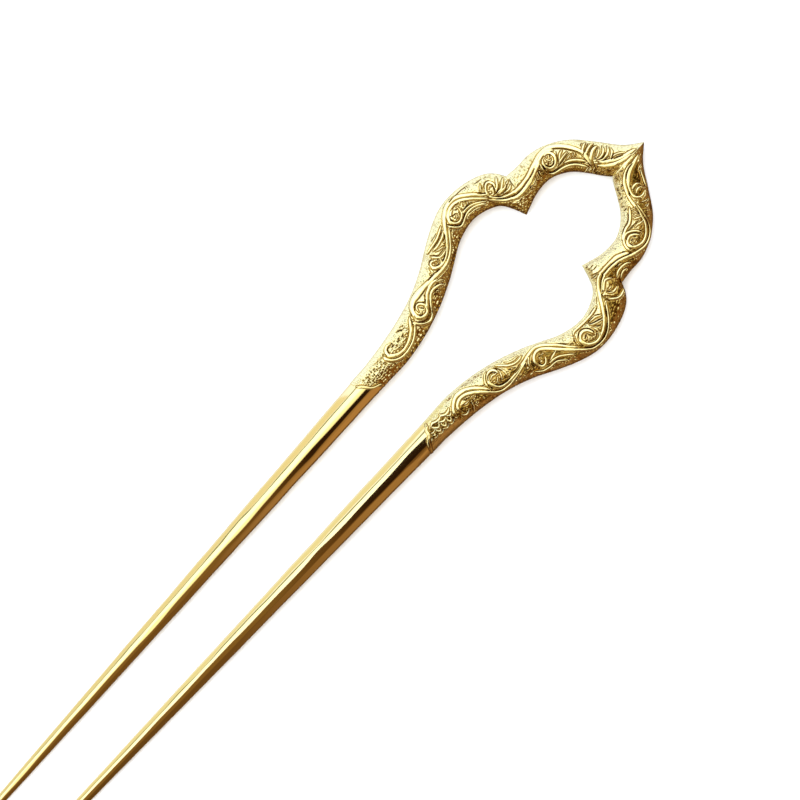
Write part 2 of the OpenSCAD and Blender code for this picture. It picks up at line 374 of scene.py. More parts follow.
# Engraved lines and hollows, cut through the ridges that they cross: a width, then along and across
CUTS = {"left": [
    (18, (150, 30), (200, 22), (240, 8)),
    (20, (520, 60), (525, 35), (522, 10), (510, -8)),
    (16, (545, 76), (590, 55), (615, 32), (628, 10)),
    (17, (635, 82), (660, 55), (680, 28), (690, 12)),
    (15, (718, 80), (732, 66), (738, 58)),
    (16, (395, 40), (396, 15), (415, 0), (445, -7)),
    (14, (335, 22), (350, 5), (380, -10)),
    (15, (298, 42), (278, 18), (272, 5)),
    (17, (690, 5), (760, 19), (830, 30), (910, 42), (990, 54), (1090, 65)),
    (14, (660, -39), (750, -42), (850, -42), (940, -42)),
    (26, (960, -42), (1040, -49), (1120, -59), (1210, -66), (1280, -61), (1315, -48)),
    (20, (895, 19), (940, 3), (990, -14), (1040, -29), (1090, -41), (1130, -50)),
    (15, (1068, 42), (1076, 20), (1078, 0), (1092, -20)),
    (30, (1162, 34), (1180, 22)),
    (18, (1145, -8), (1175, -24), (1225, -31), (1275, -22), (1292, -5)),
    (20, (1235, -12), (1255, -20)),
    (20, (1328, -2), (1330, -30), (1330, -52)),
    (24, (1390, 0), (1398, -25), (1395, -52)),
    (18, (1440, -16), (1450, -30)),
    (20, (1670, -38), (1680, -44)),
    (15, (1460, 14), (1530, 3), (1620, -2), (1720, -3), (1820, -1), (1930, 6), (2000, -10), (2080, -27),
     (2160, -42), (2240, -53), (2320, -54)),
    (13, (1905, 82), (1915, 68), (1905, 50), (1900, 36)),
    (22, (2030, 12), (2090, -5), (2150, -20), (2210, -33), (2260, -40), (2310, -38)),
    (16, (2030, 46), (2060, 27), (2100, 10), (2150, -8), (2200, -22)),
    (16, (2145, 52), (2170, 28), (2210, 8), (2255, -10), (2290, -24)),
    (16, (2275, 34), (2272, 12), (2288, -8), (2298, -26)),
    (24, (2298, -24), (2325, -30)),
    (14, (2295, 57), (2345, 56), (2390, 40), (2410, 20)),
    (12, (2415, 46), (2435, 24), (2448, 5)),
    (13, (2305, 84), (2335, 78), (2350, 74)),
    (10, (2380, 80), (2440, 73), (2500, 69)),
    (12, (2610, 86), (2610, 72)),
    (12, (2640, 84), (2642, 68)),
    (11, (2610, 82), (2700, 82), (2800, 79), (2930, 76)),
    (20, (2430, -4), (2490, 2), (2540, 12)),
    (26, (2670, -14), (2730, -10), (2780, -13), (2840, -16)),
    (16, (2745, 12), (2770, -2)),
    (16, (2885, 40), (2865, 26)),
    (16, (2878, 16), (2875, -2), (2885, -16)),
    (34, (2920, 14), (2950, 22)),
    (22, (2985, 7), (3020, 10), (3060, 20)),
    (24, (3000, -17), (3030, -19)),
    (22, (3075, -5), (3100, 6)),
    (26, (2950, -44), (3010, -49), (3060, -44), (3110, -28), (3150, -8), (3180, 12)),
    (20, (2860, -34), (2910, -40), (2950, -46)),
    (30, (3200, -22), (3235, -22)),
    (13, (3300, 36), (3350, 33), (3410, 33), (3470, 37), (3530, 45), (3590, 56)),
    (20, (3330, 6), (3380, 0), (3420, 4)),
    (6, (3380, 60), (3450, 66), (3520, 76)),
    (22, (3455, -10), (3475, -14)),
    (15, (3705, 62), (3688, 42), (3672, 22), (3645, 7), (3590, -2), (3540, -10), (3500, -20)),
    (16, (3600, -27), (3660, -28), (3700, -26)),
    (17, (3745, 32), (3756, 48), (3790, 56), (3840, 54)),
    (16, (3710, 6), (3735, -3), (3770, -3), (3795, 6), (3802, 18)),
    (26, (3840, -12), (3870, -8), (3900, 0)),
    (18, (3935, 10), (3990, 21), (4060, 31)),
    (24, (4040, -36), (4070, -24), (4095, -20)),
    (16, (4130, -45), (4150, -36), (4190, -28)),
    (14, (4295, 24), (4305, 12)),
    (22, (4340, 6), (4380, 4), (4400, 20)),
    (18, (4405, 24), (4425, 42), (4470, 51), (4515, 49), (4555, 36)),
    (26, (4485, 18), (4480, 2), (4472, -8)),
    (26, (4540, -14), (4575, -16), (4600, -8)),
    (34, (4490, -54), (4540, -58), (4590, -56), (4640, -44), (4675, -25)),
    (16, (4620, 52), (4642, 40)),
    (16, (4635, 22), (4645, 12)),
    (18, (4715, 30), (4730, 18), (4765, 8)),
    (14, (4865, 40), (4900, 44), (4940, 50)),
    (20, (5175, 52), (5185, 42), (5225, 36)),
    (20, (5245, 50), (5285, 52), (5315, 38), (5330, 22)),
    (16, (5370, 44), (5380, 28)),
    (16, (5400, 52), (5415, 42)),
], "right": [
    (26, (310, -83), (335, -88)),
    (22, (350, -92), (370, -83)),
    (24, (400, -86), (435, -83), (470, -80)),
    (26, (525, -76), (545, -83), (550, -94)),
    (24, (695, -78), (700, -90)),
    (20, (740, -65), (770, -78)),
    (20, (315, -55), (320, -64)),
    (18, (100, -82), (150, -75)),
    (18, (405, -55), (410, -64)),
    (16, (45, -55), (75, -42)),
    (20, (110, 20), (125, -2), (175, -17), (250, -26)),
    (22, (405, -8), (395, -12)),
    (26, (440, 22), (460, 10), (495, 3), (530, 5)),
    (22, (475, -27), (510, -28), (540, -27)),
    (26, (725, -8), (780, 2), (830, 10)),
    (26, (925, 8), (960, -6), (1000, -18)),
    (34, (990, -16), (1030, -25), (1080, -38), (1125, -50)),
    (18, (1060, 34), (1070, 24)),
    (18, (1112, 26), (1110, 2), (1130, -20), (1165, -36), (1210, -45), (1270, -42)),
    (26, (1172, 6), (1176, -6)),
    (24, (1230, -6), (1255, -14)),
    (18, (1310, 8), (1300, -10)),
    (14, (820, -62), (880, -59), (950, -60), (1010, -66), (1070, -74), (1140, -77), (1220, -77)),
    (24, (1415, 26), (1430, 14)),
    (18, (1450, -12), (1465, -22)),
    (18, (1620, 10), (1680, 11), (1740, 12)),
    (13, (1485, -64), (1490, -72)),
    (13, (1420, 24), (1480, 10), (1540, -2), (1620, -11), (1700, -12), (1800, -9), (1930, -1), (2000, -15),
     (2080, -33), (2150, -44), (2220, -51)),
    (12, (1840, -58), (1880, -52), (1920, -47)),
    (12, (1860, -72), (1920, -64)),
    (20, (1900, -88), (1925, -78)),
    (16, (1945, -27), (1985, -45), (2015, -60), (2045, -76)),
    (16, (1970, -31), (2020, -50), (2070, -70), (2100, -86)),
    (13, (1930, -50), (1970, -64)),
    (13, (1930, -65), (1960, -76)),
    (16, (1930, -78), (1950, -86)),
    (26, (2200, 50), (2245, 34), (2275, 12), (2295, -12), (2310, -34)),
    (34, (2350, 0), (2350, -20), (2340, -36), (2320, -48)),
    (22, (2190, 16), (2210, 0), (2230, -20)),
    (18, (2240, -42), (2260, -46)),
    (14, (2380, -80), (2430, -74), (2480, -69)),
    (20, (2460, -20), (2520, -2), (2590, 15)),
    (20, (2670, 34), (2740, 49), (2820, 60), (2920, 64), (3020, 61), (3090, 52), (3140, 36)),
    (44, (3150, 28), (3170, 14)),
    (15, (2630, -8), (2700, -21), (2770, -36), (2810, -46), (2835, -56)),
    (22, (2750, 6), (2775, -6), (2795, -16)),
    (13, (2615, -32), (2640, -45), (2650, -53)),
    (12, (2700, -55), (2760, -60), (2820, -62), (2880, -68)),
    (10, (2560, -77), (2630, -79), (2700, -82)),
    (18, (2870, 14), (2890, 28), (2940, 35), (3000, 31), (3040, 20)),
    (30, (2950, 14), (2958, -4), (2966, -20)),
    (18, (2980, -20), (3015, -12), (3040, -5)),
    (16, (2880, 5), (2882, -18), (2895, -38), (2925, -52), (2970, -60), (3030, -56), (3080, -42),
     (3115, -22)),
    (14, (3165, -42), (3185, -28), (3195, -8)),
    (34, (3230, -14), (3265, -20)),
    (17, (3290, -28), (3350, -42), (3420, -55)),
    (20, (3430, 45), (3500, 39), (3570, 35), (3630, 40)),
    (28, (3450, 8), (3490, 0), (3520, -10)),
    (26, (3715, -40), (3740, -39)),
    (22, (3775, -34), (3795, -30)),
    (20, (3750, -5), (3760, -15), (3790, -20)),
    (16, (3795, 36), (3825, 28), (3830, 12)),
    (30, (3915, 34), (3925, 12), (3930, -6)),
    (26, (4060, 22), (4050, 8), (4030, -2)),
    (22, (4100, -8), (4160, 8), (4220, 20)),
    (24, (4330, 35), (4400, 42), (4480, 43), (4530, 36), (4560, 24)),
    (24, (4386, 24), (4388, 8)),
    (26, (4466, 32), (4462, 12)),
    (20, (4180, -8), (4210, -10)),
    (20, (4260, -10), (4285, -16)),
    (17, (4475, -38), (4500, -48), (4535, -54), (4580, -49), (4615, -37), (4635, -20)),
    (15, (4375, -30), (4410, -48), (4455, -64), (4475, -74)),
    (24, (4635, 38), (4645, 24)),
    (26, (4720, -10), (4745, -16)),
    (28, (4860, 22), (4895, 10)),
    (28, (4915, 22), (4935, 29)),
    (24, (5010, 4), (5040, -6), (5070, -6), (5100, -18)),
    (34, (5170, 44), (5205, 44)),
    (20, (5295, 60), (5300, 45)),
    (26, (5625, -12), (5630, -24)),
    (34, (5655, -36), (5685, -38)),
    (24, (5735, -18), (5760, -28)),
    (20, (4695, -62), (4700, -66)),
]}

# Beads that stand alone: along in mm, across as a share, radius in mm
BEADS = {
    "left": [(12.7, -0.08, 0.2), (12.2, 0.3, 0.14), (12.15, -0.1, 0.12), (23.55, -0.12, 0.2),
        (34.35, -0.03, 0.16), (49.5, 0.03, 0.2), (50.5, -0.1, 0.16), (51.2, -0.13, 0.16),
        (52.1, -0.08, 0.18), (52.6, 0.05, 0.18), (46.1, 0.1, 0.14), (39.6, 0.28, 0.12)],
    "right": [(12.2, -0.05, 0.14), (12.7, 0.0, 0.12), (23.85, -0.22, 0.17), (37.9, 0.15, 0.2),
        (37.95, -0.08, 0.15), (40.15, 0.25, 0.2), (49.2, 0.13, 0.14), (49.6, 0.22, 0.15),
        (49.7, 0.02, 0.15), (50.0, -0.1, 0.14), (50.6, -0.17, 0.14), (42.4, -0.12, 0.15),
        (45.6, 0.05, 0.16), (48.2, 0.45, 0.12), (49.6, 0.45, 0.14), (6.05, 0.42, 0.12)],
}

# The lip where the relief ends on each prong: along in mm, across as a share
LIP = {
    "left": [(57.6, -1.0), (57.75, -0.8), (58.1, -0.65), (58.65, -0.55), (59.1, -0.42), (59.45, -0.25),
        (59.75, 0.0), (60.05, 0.2), (60.35, 0.36), (60.5, 0.52), (60.55, 1.0)],
    "right": [(57.65, -1.0), (57.7, -0.8), (57.95, -0.62), (58.4, -0.42), (58.5, -0.2), (58.65, -0.02),
        (59.4, 0.22), (59.75, 0.5), (60.05, 0.78), (60.15, 1.0)],
}
# The lowest and highest share across where the lip is raised
LIP_REACH = {"left": (-1.0, 0.52), "right": (-0.8, 1.0)}

# Zones of the ground: first and last distance along, lowest and highest share across, and strength.
# Round beads lie close together in some of them.
BEAD_ZONES = {"left": [
    (31.6, 37.2, -1.0, -0.58, 1.0),
    (41.8, 44.6, -1.0, -0.35, 1.0),
    (47.4, 50.2, -1.0, -0.45, 1.0),
    (50.0, 53.8, -1.0, -0.7, 1.0),
    (53.8, 57.4, -1.0, -0.42, 1.0),
    (25.5, 29.5, -1.0, -0.7, 0.6),
], "right": [
    (22.4, 26.6, 0.25, 0.95, 0.45),
    (47.3, 50.4, 0.2, 0.85, 0.4),
]}
# Short dashes lie across the band above both collars
DASH_ZONES = {"left": [
    (54.4, 59.0, -0.42, 0.5, 1.0),
], "right": [
    (53.6, 57.0, -0.85, -0.4, 0.3),
]}
# Slanted strokes of the hammer, with how far they climb across the band for each mm along it
STROKE_ZONES = {"left": [
    (0.3, 4.5, -1.0, -0.35, 0.8, -0.6),
    (13.8, 19.3, -1.0, -0.32, 1.0, 1.0),
    (19.3, 22.0, -1.0, -0.45, 1.0, -1.2),
    (9.5, 13.0, -1.0, -0.85, 0.6, 0.5),
    (37.0, 41.0, -1.0, -0.62, 0.6, -0.5),
], "right": [
    (0.3, 2.2, -1.0, -0.35, 0.8, -0.6),
    (19.4, 21.4, -0.85, -0.6, 0.7, -1.2),
    (2.4, 7.8, -1.0, -0.5, 0.35, -0.3),
    (13.8, 19.0, 0.45, 1.0, 0.6, 0.8),
    (31.6, 34.2, 0.55, 1.0, 0.6, -0.6),
    (39.6, 42.5, 0.35, 1.0, 0.6, 0.6),
    (47.5, 53.0, 0.4, 1.0, 0.5, -0.6),
]}
# Where shade and dark reflections are painted on the ground
PAINTED_SHADE_ZONES = {"left": [
    (0.3, 5.0, -1.0, -0.42, 0.8),
    (6.3, 13.4, -1.0, -0.62, 0.6),
    (7.4, 9.6, -0.22, 0.05, 0.4),
    (13.4, 19.3, -1.0, -0.3, 0.5),
    (19.3, 24.0, -1.0, -0.6, 0.55),
    (24.0, 31.5, -1.0, -0.62, 0.3),
    (31.5, 60.5, -1.0, -0.55, 0.15),
    (37.0, 40.5, -1.0, -0.3, 0.3),
    (41.0, 44.5, -1.0, -0.3, 0.4),
], "right": [
    (0.0, 60.0, 0.55, 1.0, 0.12),
    (0.5, 6.0, -0.05, 0.6, 0.95),
    (6.0, 15.0, 0.2, 0.6, 0.8),
    (14.5, 19.4, 0.08, 0.9, 0.8),
    (19.4, 22.5, 0.1, 0.8, 0.6),
    (19.4, 34.5, -0.3, 0.1, 0.3),
    (22.5, 27.0, -0.05, 0.6, 0.8),
    (26.8, 31.0, -0.25, 0.4, 0.35),
    (31.5, 43.0, 0.05, 0.6, 0.85),
    (34.5, 38.6, -0.4, 0.05, 0.7),
    (38.6, 43.2, -0.35, 0.1, 0.4),
    (43.2, 46.0, -0.3, 0.4, 0.6),
    (46.5, 53.4, 0.05, 0.7, 0.75),
    (53.6, 58.3, -0.3, 0.32, 1.3),
]}
# Where the ground is roughly pitted
ROUGH_ZONES = {"left": [
    (0.5, 19.0, 0.6, 1.0, 0.35),
    (14.0, 18.8, 0.3, 0.95, 0.6),
    (19.5, 26.0, 0.2, 1.0, 0.4),
    (31.5, 47.0, 0.35, 0.95, 0.35),
    (47.8, 53.0, -0.15, 0.65, 1.3),
    (54.4, 59.5, -0.25, 0.6, 0.5),
    (0.3, 60.0, -1.0, -0.6, 0.65),
], "right": [
    (0.3, 7.0, 0.6, 1.0, 0.3),
    (7.0, 53.0, 0.45, 1.0, 0.75),
    (0.3, 7.6, -1.0, -0.45, 0.75),
    (8.0, 31.0, -1.0, -0.75, 0.3),
    (31.5, 36.5, -0.9, -0.25, 0.6),
    (38.0, 50.0, -1.0, -0.65, 0.25),
    (46.8, 49.5, -0.7, -0.2, 0.3),
    (53.4, 57.5, -0.85, -0.45, 0.25),
]}

# The chart's own small offset from the metal, in x
CHART_SHIFT = 0.1

# Heights, depths and sizes of the relief, in mm
STEM_HEIGHT = 0.16
LEAF_HEIGHT = 0.12
BEAD_HEIGHT = 0.15
BEAD_SPAN = 0.01
LIP_HEIGHT = 0.16
LIP_WIDTH = 0.58
RIDGE_MARGIN = 0.03
GROOVE_DEPTH = 0.11
GROOVE_WIDTH = 0.19
CUT_DEPTH = 0.15
CUT_SPREAD = 0.07
BEAD_CELL = 0.54
DASH_CELL = 0.38
STROKE_CELL = 0.28
GRAIN_CELL = 0.3
GRAIN_HEIGHT = 0.045
MARK_HEIGHT = 0.25
MARK_FLOOR = 0.08
POCK_SIZE = 0.34
POCK_DEPTH = 0.07
# Size and depth of the band's broad and fine dents
DENTS = {"broad": (1.1, 0.014), "fine": (0.35, 0.01)}

# Shapes of the relief, as shares, powers and counts, with END_TAPER and ZONE_FADE in mm
RIDGE_POWER = 3.5
RIDGE_ROUNDING = 0.6
END_WIDTH = 0.5
END_TAPER = 0.6
CREST_STEPS = 6
DASH_DEPTH = 0.8
DASH_STRETCH = 0.5
STROKE_LENGTH = 3.0
GRAIN_PLUMP = 0.34
BEAD_PLUMP = 0.3
DASH_PLUMP = 0.26
GRAIN_JITTER = 0.7
GRAIN_SPREAD = 0.6
LEAST_TOP = 0.5
ROUGH_GAIN = 1.6
ZONE_FADE = 0.3
ZONE_RIM_OUTSIDE = 0.08
ZONE_RIM_INSIDE = 0.04

# How raised parts are lifted on the sloping band, so that their tops lie nearly level, and how
# little of a flank's relief goes sideways
LEVELLING = 0.8
MOST_LIFT = 0.25
UPHILL = 0.07
RELIEF_LEAN = 0.3

# How much shade is painted into each hollow and a slightly darker tone on the lip, and how much of the
# painted shade the raised marks and grains keep off
GROOVE_SHADE = 0.9
CUT_SHADE = 0.85
POCK_SHADE = 0.7
LIP_SHADE = 0.22
BEAD_PIT_SHADE = 0.6
STROKE_PIT_SHADE = 0.55
GRAIN_PIT_SHADE = 0.12
MARK_SHINE = 1.6
GRAIN_SHINE = 2.0
DARK_SHINE = 0.8
# Where each effect sets in and where it is full: dashes by the height of their grains, pocks by the
# noise, and the painted shade of cuts and the lip's darker tone by their own shares. The groove's painted
# shade goes the other way: it is full up to the first height of the ridge, and gone from the second.
DASH_EDGE = (0.15, 0.55)
POCK_EDGE = (0.2, 0.65)
GROOVE_EDGE = (0.03, 0.17)
CUT_EDGE = (0.1, 0.6)
LIP_EDGE = (0.0, 0.5)
# Mean and spread of the mottling of the painted shade in the dark zones, and the sizes of its patches
MOTTLE = (0.9, 0.3)
MOTTLE_SIZES = {"fine mottle": 0.3, "broad mottle": 0.75}

# A number for each repeatable pattern
SEEDS = {"beads": 3, "dashes": 5, "strokes": 7, "grains": 9, "broad dents": 11, "fine dents": 12,
         "fine mottle": 13, "broad mottle": 14, "pocks": 15, "broad left": 21, "fine left": 22,
         "broad right": 31, "fine right": 32}

# Factors of a cell's two numbers, of its seed and of the whole, which scatter what hashed gives
HASH_FACTORS = (127.1, 311.7, 74.7, 43758.5453)

# Further than any ridge or cut reaches, and a value too small to matter, which keeps divisions safe
FAR = 9.0
TINY = 1e-9


def hashed(i, j, seed):
    """A repeatable number from 0 to 1 for each whole-numbered cell."""
    first, second, third, gain = HASH_FACTORS
    n = np.sin(i * first + j * second + seed * third) * gain
    return n - np.floor(n)


def punched(p, q, cell, seed, plump=GRAIN_PLUMP):
    """Round grains, one in each cell of a jittered grid: 1 on top and 0 between, and the grain's q."""
    i, j = np.floor(p / cell), np.floor(q / cell)
    best = np.zeros_like(p)
    middle = np.array(q, float)
    for di in (-1, 0, 1):
        for dj in (-1, 0, 1):
            ci, cj = i + di, j + dj
            x = (ci + 0.5 + GRAIN_JITTER * (hashed(ci, cj, seed) - 0.5)) * cell
            y = (cj + 0.5 + GRAIN_JITTER * (hashed(ci, cj, seed + 1) - 0.5)) * cell
            r = cell * plump * (1 + GRAIN_SPREAD * hashed(ci, cj, seed + 2))
            top = LEAST_TOP + (1 - LEAST_TOP) * hashed(ci, cj, seed + 3)
            d2 = ((p - x) ** 2 + (q - y) ** 2) / r**2
            dome = top * np.sqrt(np.clip(1 - d2, 0, 1))
            middle = np.where(dome > best, y, middle)
            best = np.maximum(best, dome)
    return best, middle


def soft_noise(p, q, size, seed):
    """Smooth noise from -1 to 1 whose lumps are about this size."""
    x, y = p / size, q / size
    i, j = np.floor(x), np.floor(y)
    u, v = smooth_step(0, 1, x - i), smooth_step(0, 1, y - j)
    low = hashed(i, j, seed) * (1 - u) + hashed(i + 1, j, seed) * u
    high = hashed(i, j + 1, seed) * (1 - u) + hashed(i + 1, j + 1, seed) * u
    return 2 * (low * (1 - v) + high * v) - 1


def crest(knots):
    """A line of the relief: its x and y, its width, which narrows to both ends, and its level."""
    last = len(knots) - 1
    line = curve_through(knots, np.linspace(0, last, CREST_STEPS * last + 1))
    xy = place_in_band(line[:, 0], line[:, 1])
    run = run_along(xy)
    ends = np.minimum(run, run[-1] - run)
    widths = line[:, 2] * (END_WIDTH + (1 - END_WIDTH) * smooth_step(0, END_TAPER, ends))
    return xy, widths, level_at(line[:, 0], line[:, 1])


def level_at(along, across):
    """The level that a ridge is lifted towards: the plain band's, slightly uphill of the ridge."""
    return band_rise(along, across * (1 - UPHILL))


def of_width(width, knots):
    return [(along, across, width) for along, across in knots]


def charted(knots):
    """A chart's places in mm and shares."""
    return np.array(knots) / 100


def lip_crest(side):
    """The raised part of the lip, just inside the edge where the head's mesh ends."""
    low, high = LIP_REACH[side]
    raised = [(along - LIP_WIDTH / 2, across) for along, across in LIP[side] if low <= across <= high]
    return crest(of_width(LIP_WIDTH, raised))


def near_line(points, line, widths, levels):
    """Each point's distance to a line, as a share of its half width and in mm, and its level there."""
    share = np.full(len(points), FAR)
    gap = np.full(len(points), FAR)
    level = np.zeros(len(points))
    for k in range(len(line) - 1):
        a, b = line[k], line[k + 1]
        reach = b - a
        t = np.clip((points - a) @ reach / max(reach @ reach, TINY), 0, 1)
        d = np.linalg.norm(points - a - t[:, None] * reach, axis=1)
        half = (widths[k] * (1 - t) + widths[k + 1] * t) / 2
        level = np.where(d / half < share, levels[k] * (1 - t) + levels[k + 1] * t, level)
        share = np.minimum(share, d / half)
        gap = np.minimum(gap, d - half)
    return share, gap, level


def places_near(points, line, room):
    """Which of the points lie in the box around a line, grown by this room."""
    low, high = line.min(axis=0) - room, line.max(axis=0) + room
    return np.flatnonzero(np.all((points > low) & (points < high), axis=1))


def levelled(climb):
    """How far a raised part is lifted so that its top lies nearly level on the sloping band."""
    return np.minimum(LEVELLING * climb, MOST_LIFT)


class Ridges:
    """The ridges over some points: their height in mm, and the groove beside them from 0 to 1."""

    def __init__(self, points, surface):
        self.points = points
        self.surface = surface
        self.height = np.zeros(len(points))
        self.groove = np.zeros(len(points))

    def add(self, line, widths, levels, top):
        """Raise a rounded ridge with a level top along a line, and sink the ground beside it."""
        near = places_near(self.points, line, widths.max() / 2 + GROOVE_WIDTH)
        if len(near) == 0:
            return
        share, gap, level = near_line(self.points[near], line, widths, levels)
        rise = top + GROOVE_DEPTH + levelled(level - self.surface[near])
        rise = rise * np.clip(1 - share**RIDGE_POWER, 0, 1) ** RIDGE_ROUNDING
        self.height[near] = np.maximum(self.height[near], rise)
        self.groove[near] = np.maximum(self.groove[near], 1 - smooth_step(0, GROOVE_WIDTH, gap))

    def add_bead(self, along, across, radius):
        """Raise a bead, as a ridge along a line of almost no length."""
        centre = place_in_band([along], [across])
        line = np.vstack([centre, centre + BEAD_SPAN])
        level = level_at(along, across)
        self.add(line, np.full(2, 2 * radius), np.full(2, level), BEAD_HEIGHT)


def all_ridges(points, surface, side):
    """Every stem, leaf and bead of one side, and its lip."""
    ridges = Ridges(points, surface)
    for knots in STEMS[side]:
        line, widths, levels = crest(charted(knots))
        ridges.add(line, widths - RIDGE_MARGIN, levels, STEM_HEIGHT)
    for width, *knots in LEAVES[side]:
        line, widths, levels = crest(charted(of_width(width, knots)))
        ridges.add(line, widths - RIDGE_MARGIN, levels, LEAF_HEIGHT)
    for along, across, radius in BEADS[side]:
        ridges.add_bead(along, across, radius)
    ridges.add(*lip_crest(side), LIP_HEIGHT)
    return ridges


def hollow_along(points, line, widths):
    """A rounded hollow along a line: 1 in its middle, and 0 beside it."""
    hollow = np.zeros(len(points))
    near = places_near(points, line, widths.max() / 2)
    if len(near) > 0:
        share, _, _ = near_line(points[near], line, widths, np.zeros(len(line)))
        hollow[near] = np.clip(1 - share**2, 0, 1)
    return hollow


def all_cuts(points, side):
    """Every engraved line and hollow of one side."""
    carved = np.zeros(len(points))
    for width, *knots in CUTS[side]:
        line, widths, _ = crest(charted(of_width(width, knots)))
        carved = np.maximum(carved, hollow_along(points, line, widths + CUT_SPREAD))
    return carved


def in_zones(along, across, zones):
    """How strongly each place belongs to the zones of a table, from 0 to 1."""
    inside = np.zeros(len(along))
    for first, last, low, high, strength in zones:
        share = smooth_step(first - ZONE_FADE, first + ZONE_FADE, along)
        share = share * (1 - smooth_step(last - ZONE_FADE, last + ZONE_FADE, along))
        share = share * smooth_step(low - ZONE_RIM_OUTSIDE, low + ZONE_RIM_INSIDE, across)
        share = share * (1 - smooth_step(high - ZONE_RIM_INSIDE, high + ZONE_RIM_OUTSIDE, across))
        inside = np.maximum(inside, strength * share)
    return inside


def strokes(along, across, q, zones):
    """Grains drawn out at a slant, and how strongly each place belongs to their zones."""
    drawn = np.zeros(len(along))
    inside = np.zeros(len(along))
    for first, last, low, high, strength, climb in zones:
        turn = math.atan(climb)
        lengthwise = along * math.cos(turn) + q * math.sin(turn)
        sideways = q * math.cos(turn) - along * math.sin(turn)
        share = in_zones(along, across, [(first, last, low, high, strength)])
        grains, _ = punched(lengthwise / STROKE_LENGTH, sideways, STROKE_CELL, SEEDS["strokes"])
        drawn = np.maximum(drawn, share * grains)
        inside = np.maximum(inside, share)
    return drawn, inside


def dashes(along, across, side):
    """Short dashes across the band, from 0 to 1."""
    q = across * HALF_WIDTH
    grains, _ = punched(along, q * DASH_STRETCH, DASH_CELL, SEEDS["dashes"], DASH_PLUMP)
    return smooth_step(*DASH_EDGE, grains) * in_zones(along, across, DASH_ZONES[side])


def ground_parts(along, across, side):
    """What the ground is made of at each place: shares from 0 to 1, and the lift of its grains."""
    q = across * HALF_WIDTH
    surface = band_rise(along, across)
    bead_zone = in_zones(along, across, BEAD_ZONES[side])
    beads, bead_q = punched(along, q, BEAD_CELL, SEEDS["beads"], BEAD_PLUMP)
    beads = beads * bead_zone
    drawn, stroke_zone = strokes(along, across, q, STROKE_ZONES[side])
    zone = np.maximum(bead_zone, stroke_zone)
    grains, grain_q = punched(along, q, GRAIN_CELL, SEEDS["grains"])
    rough = in_zones(along, across, ROUGH_ZONES[side])
    pocks = smooth_step(*POCK_EDGE, soft_noise(along, q, POCK_SIZE, SEEDS["pocks"])) * rough
    return SimpleNamespace(
        beads=beads,
        marks=np.maximum(beads, drawn),
        bead_zone=bead_zone,
        zone=zone,
        bare=1 - zone,
        grains=grains,
        rough=rough,
        pocks=pocks,
        bead_lift=levelled(band_rise(along, bead_q / HALF_WIDTH) - surface),
        grain_lift=levelled(band_rise(along, grain_q / HALF_WIDTH) - surface),
    )


def ground_height(ground):
    """The height of the ground over the plain band, in mm."""
    height = MARK_HEIGHT * ground.marks - MARK_FLOOR * ground.zone
    height = height + GRAIN_HEIGHT * (1 + ROUGH_GAIN * ground.rough) * ground.grains * ground.bare
    height = height - POCK_DEPTH * ground.pocks * ground.bare
    height = height + ground.beads * ground.bead_lift
    return height + ground.rough * ground.grains * ground.bare * ground.grain_lift


def painted_dark_patches(along, across, side):
    """The mottled shade and dark reflections painted on the dark zones."""
    mottle, spread = MOTTLE
    for name, size in MOTTLE_SIZES.items():
        mottle = mottle + spread * soft_noise(along, across * HALF_WIDTH, size, SEEDS[name])
    return in_zones(along, across, PAINTED_SHADE_ZONES[side]) * np.clip(mottle, 0, 2)


def ground_painted_shade(ground, dark):
    """The shade painted on the ground, from 0 to 1: between beads, strokes and grains, in the dark zones
    and in the pocks.
    """
    pit_shade = np.maximum(BEAD_PIT_SHADE * ground.bead_zone, STROKE_PIT_SHADE * ground.zone)
    pit_shade = pit_shade * (1 - MARK_SHINE * ground.marks)
    pit_shade = pit_shade + GRAIN_PIT_SHADE * ground.bare * (1 - GRAIN_SHINE * ground.grains)
    dark = dark * (1 - DARK_SHINE * ground.marks)
    pocks = POCK_SHADE * ground.pocks * (1 - ground.marks)
    return np.maximum.reduce([np.clip(pit_shade, 0, 1), dark, pocks])


def dents(along, across):
    """The casting's slight unevenness, in mm."""
    total = np.zeros(len(along))
    for name, (size, depth) in DENTS.items():
        total = total + depth * soft_noise(along, across * HALF_WIDTH, size, SEEDS[f"{name} dents"])
    return total


def relief(points, along, across, side):
    """The height of the relief over the plain band at each point in mm, and the shade painted on it from 0
    to 1, with a slightly darker tone along the lip.
    """
    points = points - [CHART_SHIFT * SIDES[side], 0]
    ridges = all_ridges(points, band_rise(along, across), side)
    open_ground = 1 - ridges.groove
    carved = np.maximum(all_cuts(points, side), DASH_DEPTH * dashes(along, across, side) * open_ground)
    ground = ground_parts(along, across, side)
    height = ridges.height - GROOVE_DEPTH * ridges.groove + ground_height(ground) * open_ground
    height = height + dents(along, across) - CUT_DEPTH * carved
    lip_line, lip_widths, _ = lip_crest(side)
    lip = hollow_along(points, lip_line, lip_widths)
    # Shade painted into the colour: in the grooves beside ridges, the pits, pocks, cuts and dark zones, and
    # a slightly darker tone along the lip
    shade = np.maximum.reduce([
        GROOVE_SHADE * ridges.groove**2 * (1 - smooth_step(*GROOVE_EDGE, ridges.height)),
        ground_painted_shade(ground, painted_dark_patches(along, across, side)) * open_ground,
        CUT_SHADE * smooth_step(*CUT_EDGE, carved),
        LIP_SHADE * smooth_step(*LIP_EDGE, lip),
    ])
    return height, np.clip(shade, 0, 1)


# The head's mesh: columns over the front and flanks and under the back, steps to space them by, how
# far the even ones reach below the widest place, how far in from the rims and from the point the
# relief is faded out, and the angle from which an edge is sharp
FRONT_COLUMNS = 168
BACK_COLUMNS = 6
FINE_ANGLES = 2001
FLANK_FOOT = math.radians(40)
RIM_FADE = 0.3
MITRE_FADE = 0.35
SHARP_DEGREES = 75

